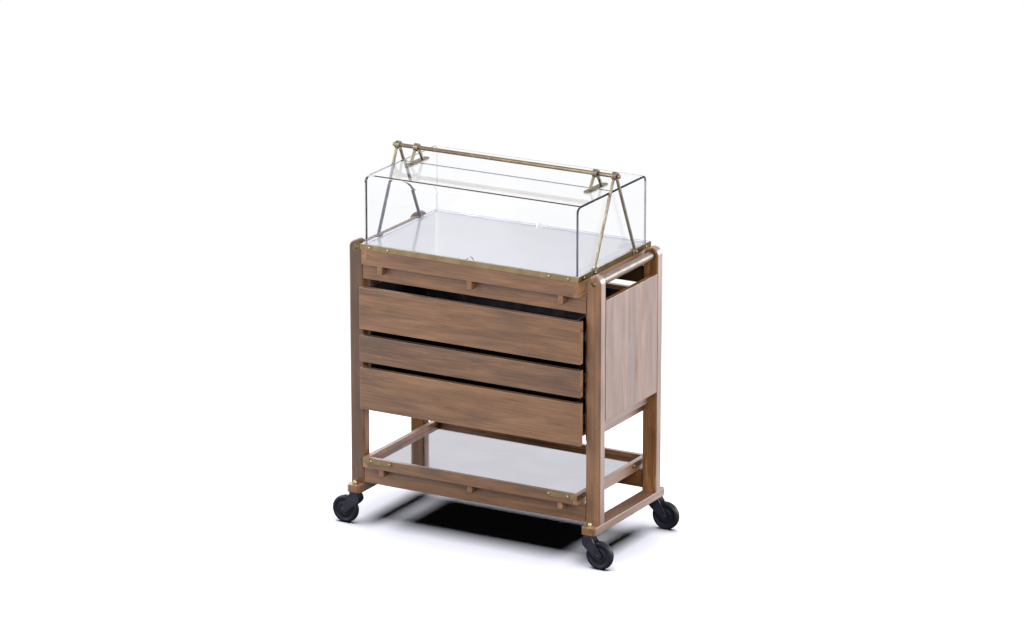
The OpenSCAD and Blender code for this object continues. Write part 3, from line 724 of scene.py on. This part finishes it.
board_thick = 0.015
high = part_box("top_tray_boards")[1]
front_of_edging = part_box("top_tray_edging")[1].y
board_end = high.x - board_thick
tray_timber = timber("upper tray timber", "XZY", ends=board_end, seed=19.4, tone=-0.05)
tray_ends_painted_light = timber("tray end timber", "YZX", seed=19.4, tone=0.66, figure=0.7, wax=0.12)
white_gloss = gloss_panel("white gloss panel", colour(232, 232, 240))
screw_shadow_brass = metal("dark brass", colour(70, 58, 40), colour(92, 78, 54), 0.5, even_wear)
boards = eased("top_tray_boards", tray_timber, 0.001)
finish_faces(boards, white_gloss,
             lambda centre, normal: centre.z > high.z - 0.0005 and normal.z > 0.9)
# The boards' end faces take a paler timber as painted light.
finish_faces(boards, tray_ends_painted_light, end_face)
eased("top_tray_panel", white_gloss, 0.0005)
edging = eased("top_tray_edging", brass, 0.0006)
# Inward faces of the bars take the white gloss as a painted reflection of the panel.
finish_faces(edging, white_gloss, inward)
# The bars' outward end faces take browner brass as painted shade.
finish_faces(edging, brown_brass, lambda centre, normal: centre.x * normal.x > 0.3)
screws = eased("top_tray_screws", bright_brass, 0.0003)
# The steep foot of each screw dome is painted dark as its shadow.
finish_faces(screws, screw_shadow_brass, screw_foot(front_of_edging))


# Lower tray: timber boards round a sheet of polished steel that lies in a groove, with domed
# brass screws through the straps at its corners.
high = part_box("lower_tray_boards")[1]
front_of_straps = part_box("lower_tray_corners")[1].y
board_end = high.x - board_thick
tray_timber = timber("lower tray timber", "XZY", ends=board_end, seed=23.8)
inner_tray_painted_shade = timber("inner tray timber", "XZY", ends=board_end, seed=23.8, wax=0.04)
boards = eased("lower_tray_boards", tray_timber, 0.001)
# Inward faces take a copy with the sheen painted out as shade.
finish_faces(boards, inner_tray_painted_shade, inward)
mirror_steel = metal("polished steel", (0.53, 0.52, 0.58, 1.0), (0.57, 0.56, 0.62, 1.0), 0.05,
                     (40.0, 900.0, 900.0), 7.0)
eased("lower_tray_panel", mirror_steel, 0.0005)
screws = eased("lower_tray_screws", bright_brass, 0.0003)
# The steep foot of each screw dome is painted dark as its shadow.
finish_faces(screws, screw_shadow_brass, screw_foot(front_of_straps))


# Cover: two lids bent from clear sheet and two fixed clear ends inside them. The polished cut
# edges are painted as shade and reflection, hiding part of what lies behind them: dark at the
# right and round the bends, near black round the finger notch, and pale at the left.
lid_low, lid_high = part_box("front_lid")
bend_bottom = lid_high.z - 0.021
top_starts, top_level = lid_high.z - 0.009, lid_high.z - 0.005
notch_half, notch_top = 0.03, lid_low.z + 0.02


def clear_sheet():
    """Clear sheet that refracts, and lets light through to what stands inside it."""
    material, nodes = new_material("clear sheet")
    place = nodes.place()
    wave = nodes.noise(place, 6.0, 1.0)
    smear = nodes.noise(place, 14.0, 4.0, 0.5)
    sheet = nodes.add("ShaderNodeBsdfPrincipled", {}, {
        "Base Color": (0.985, 0.988, 0.995, 1.0),
        "Roughness": 0.01 + smear * 0.02,
        "IOR": 1.27,
        "Transmission Weight": 1.0,
        "Normal": nodes.bump(0.02, 0.001, wave),
    })
    through = nodes.add("ShaderNodeBsdfTransparent", {}, {"Color": (0.97, 0.975, 0.985, 1.0)})
    passing = nodes.math("MAXIMUM", nodes.ray("Shadow"), nodes.ray("Diffuse"))
    nodes.mixed_surface(passing, sheet, through)
    return material


def cut_edge(name, dark, light, cover, over_top=0.0):
    """Sheet edge with painted shade: from dark to light along it, near black round the bend.

    cover is how far it hides what lies behind it below the bend, and over_top is how far the
    dark goes on from the bend over the flat top.
    """
    material, nodes = new_material(name)
    place = nodes.place()
    depth = nodes.noise(place, 11.0)
    height = nodes.add("ShaderNodeSeparateXYZ", {}, {0: place}, "Z")
    flat_top = nodes.step(height, top_starts, top_level)
    round_bend = nodes.step(height, bend_bottom - 0.003, bend_bottom + 0.003)
    round_bend = round_bend * (1.0 - flat_top * (1.0 - over_top))
    mixed = nodes.step(depth, 0.3, 0.7)
    upright = nodes.blend(mixed, dark, light)
    painted_bend = nodes.blend(mixed, colour(12, 12, 24), colour(30, 30, 46))
    nodes.surface(nodes.add("ShaderNodeBsdfPrincipled", {}, {
        "Base Color": nodes.blend(round_bend, upright, painted_bend),
        "Roughness": 0.12 + depth * 0.1,
        "Specular IOR Level": 0.15,
        "Alpha": cover + round_bend * (1.0 - cover),
    }))
    return material


clear = clear_sheet()
# Edges painted dark at the right, pale at the left and near black at the finger notch, as shade and
# reflection.
painted_dark_edge = cut_edge("clear sheet cut edge", colour(84, 84, 108), colour(112, 111, 136), 0.82, 1.0)
painted_pale_edge = cut_edge("pale sheet cut edge", colour(104, 104, 116), colour(132, 132, 144), 0.3)
painted_notch_edge = cut_edge("finger notch edge", colour(20, 20, 30), colour(34, 34, 46), 1.0)
for node in ("front_lid", "rear_lid"):
    mesh = merged_copy(node)
    made = piece(node + "_sheet", mesh, node, [clear, painted_dark_edge, painted_pale_edge, painted_notch_edge])
    for face in mesh.polygons:
        x, y, z = face.center
        if abs(x) > lid_high.x - 0.001 and end_face(face.center, face.normal):
            face.material_index = 1 if x > 0 else 2
        elif y < -0.1 and z < notch_top and abs(x) < notch_half and abs(face.normal.y) < 0.5:
            face.material_index = 3
        elif abs(y) < 0.001:
            face.material_index = 1
    ease(made, 0.0005)
for node, edge in (("cover_end_left", painted_pale_edge), ("cover_end_right", painted_dark_edge)):
    made = piece(node + "_sheet", merged_copy(node), node, [clear])
    finish_faces(made, edge, lambda centre, normal: abs(normal.x) < 0.5)
    ease(made, 0.0005)


# Hinge rod and its frames: a brass rod with ball ends through the eyes of flat square bars, two
# to each A-shaped end frame and one to each lid bracket, all brazed to thin plates. The end
# frames' faces that look into the cover, and one of each frame's Y faces, are painted in a
# shaded brass, darker still below the lid top, as painted shade.
low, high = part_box("hinge_rod")
rod_z = (low.z + high.z) / 2
rod, ball = 0.006, (high.z - low.z) / 2
meet = 180 - np.degrees(np.arcsin(rod / ball))
ball_end = arc((0, high.x - ball), ball, 88, 90 - meet, 14)
rod_profile = np.concatenate([ball_end, ball_end[::-1] * (1, -1)])
rod_brass = metal("rod brass", colour(112, 99, 80), colour(130, 116, 96), 0.42,
                  (12.0, 900.0, 900.0))
mesh = shell_mesh("rod_with_balls", [loft(turned(rod_profile, (0, 0, rod_z), 0, 40))])
piece("rod_with_balls", mesh, "hinge_rod", [rod_brass], smooth=30)


def rounded(corners, radius, steps=4):
    """Closed outline of a polygon whose corners are cut back by radius and rounded off.

    Each corner becomes the parabola that starts and ends radius away from it on its two sides.
    """
    corners = np.asarray(corners, float)
    back, on = np.roll(corners, 1, 0) - corners, np.roll(corners, -1, 0) - corners
    first = corners + radius * back / np.linalg.norm(back, axis=1, keepdims=True)
    last = corners + radius * on / np.linalg.norm(on, axis=1, keepdims=True)
    t = np.linspace(0, 1, steps)[None, :, None]
    curve = (1 - t) ** 2 * first[:, None] + t ** 2 * last[:, None]
    curve = curve + 2 * t * (1 - t) * corners[:, None]
    return curve.reshape(-1, 2)


def rectangle(low_u, low_v, high_u, high_v, radius):
    """Rounded outline of a rectangle, from its low corner to its high one."""
    return rounded([(low_u, low_v), (high_u, low_v), (high_u, high_v), (low_u, high_v)], radius)


bar_half, eye_reach, bar_start = 0.0037, 0.012, 0.009
eye_profile = rectangle(rod, -bar_half, eye_reach, bar_half, 0.0008)
bar_section = rectangle(-bar_half, -bar_half, bar_half, bar_half, 0.0013)


def eye_bar(x, spread, foot):
    """Shells of an eye round the rod at x, and of the square bar that leans down to height foot.

    The bar's section is carried along the line from the rod to (spread, foot) and cut level there.
    """
    centre = np.array((x, 0, rod_z))
    run = np.array((0, spread, foot - rod_z)) / np.hypot(spread, foot - rod_z)
    across = np.array((0, -run[2], run[1]))
    wide, deep = bar_section.T
    flat = centre + wide[:, None] * (1, 0, 0) + deep[:, None] * across
    reach = (foot - flat[:, 2:]) / run[2]
    eye = turned(eye_profile, centre, 0, 48)
    return [loft(eye, ends=False), loft([flat + bar_start * run, flat + reach * run])]


def carried(outline, axis, start, stop, edge=0.0005):
    """Shell of an outline carried along an axis, drawn in by edge at both ends."""
    middle = outline.mean(0)
    reach = np.abs(outline - middle).max(0)
    smaller = middle + (outline - middle) * (1 - edge / reach)
    side = edge if stop > start else -edge
    rings = [(smaller, start), (outline, start + side), (outline, stop - side), (smaller, stop)]
    return loft([np.insert(ring, axis, place, axis=1) for ring, place in rings])


low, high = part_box("a_frame_right")
edging_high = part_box("top_tray_edging")[1]
lid_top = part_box("front_lid")[1].z
strip, clip_length, bar_pitch, frame_spread = 0.0025, 0.026, 0.0075, 0.116
foot_top = edging_high.z + strip
inner_row = low.x + bar_pitch / 2
outer_row = inner_row + bar_pitch
clip = rounded([
    (low.x, edging_high.z), (edging_high.x, edging_high.z), (edging_high.x, low.z),
    (edging_high.x + strip, low.z), (edging_high.x + strip, foot_top), (low.x, foot_top),
], 0.0006)
bar_brass = metal("bar brass", colour(112, 104, 89), colour(134, 125, 109), 0.42, even_wear)
painted_shade_brass = metal("brass with painted shade", colour(108, 99, 84), colour(128, 119, 103), 0.44, even_wear,
                   painted_shade_below=(lid_top, colour(62, 60, 72)))
for node, side, front_row, rear_row in (("a_frame_left", -1, -outer_row, -inner_row),
                                        ("a_frame_right", 1, inner_row, outer_row)):
    shells = eye_bar(front_row, -frame_spread, foot_top) + eye_bar(rear_row, frame_spread, foot_top)
    for end in (-1, 1):
        shells.append(carried(clip * (side, 1), 1, end * (high.y - clip_length), end * high.y))
    bars = piece(node + "_bars", shell_mesh(node + "_bars", shells), node, [bar_brass], smooth=40)
    # Faces turned into the cover, and one Y face of each frame, take the brass with painted shade.
    finish_faces(bars, painted_shade_brass,
                 lambda centre, normal: side * normal.x < -0.3 or side * normal.y > 0.3)

low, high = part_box("front_lid_brackets")
plate_half, seam, bar_aside, bar_spread = 0.01225, 0.0003, 0.004, 0.028
plate_top = low.z + 0.003
for node, end in (("front_lid_brackets", -1), ("rear_lid_brackets", 1)):
    shells = []
    for x in (plate_half - high.x, high.x - plate_half):
        shells += eye_bar(x + end * bar_aside, end * bar_spread, plate_top - 0.0005)
        tip = arc((x, -low.y - plate_half), plate_half, 0, 180, 25)
        plate = np.array([*tip, (x - plate_half, seam), (x + plate_half, seam)]) * (1, end)
        shells.append(carried(plate, 2, low.z, plate_top))
    piece(node + "_bars", shell_mesh(node + "_bars", shells), node, [bar_brass], smooth=40)


# Corner straps of the lower tray: flat brass, a short folded part round each corner and a longer
# part beyond it on both sides, round at its end, each held by a domed screw.
low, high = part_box("lower_tray_corners")
board_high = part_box("lower_tray_boards")[1]
fold_end, strap_start, strap_end = 0.028, 0.0298, 0.104
middle, strap_half = (low.z + high.z) / 2, (high.z - low.z) / 2
tip = arc((strap_end - strap_half, middle), strap_half, -90, 90, 17)
long_part = np.array([(strap_start, low.z), *tip, (strap_start, high.z)])
short_part = rectangle(0, low.z, fold_end, high.z, 0.0004)
shells = []
for sx in (-1, 1):
    for sy in (-1, 1):
        for part in (short_part, long_part):
            on_front = np.stack([sx * (high.x - part[:, 0]), part[:, 1]], 1)
            shells.append(carried(on_front, 1, sy * board_high.y, sy * high.y))
            on_side = np.stack([sy * (high.y - part[:, 0]), part[:, 1]], 1)
            shells.append(carried(on_side, 0, sx * board_high.x, sx * high.x))
mesh = shell_mesh("corner_straps", shells)
piece("corner_straps", mesh, "lower_tray_corners", [brass])
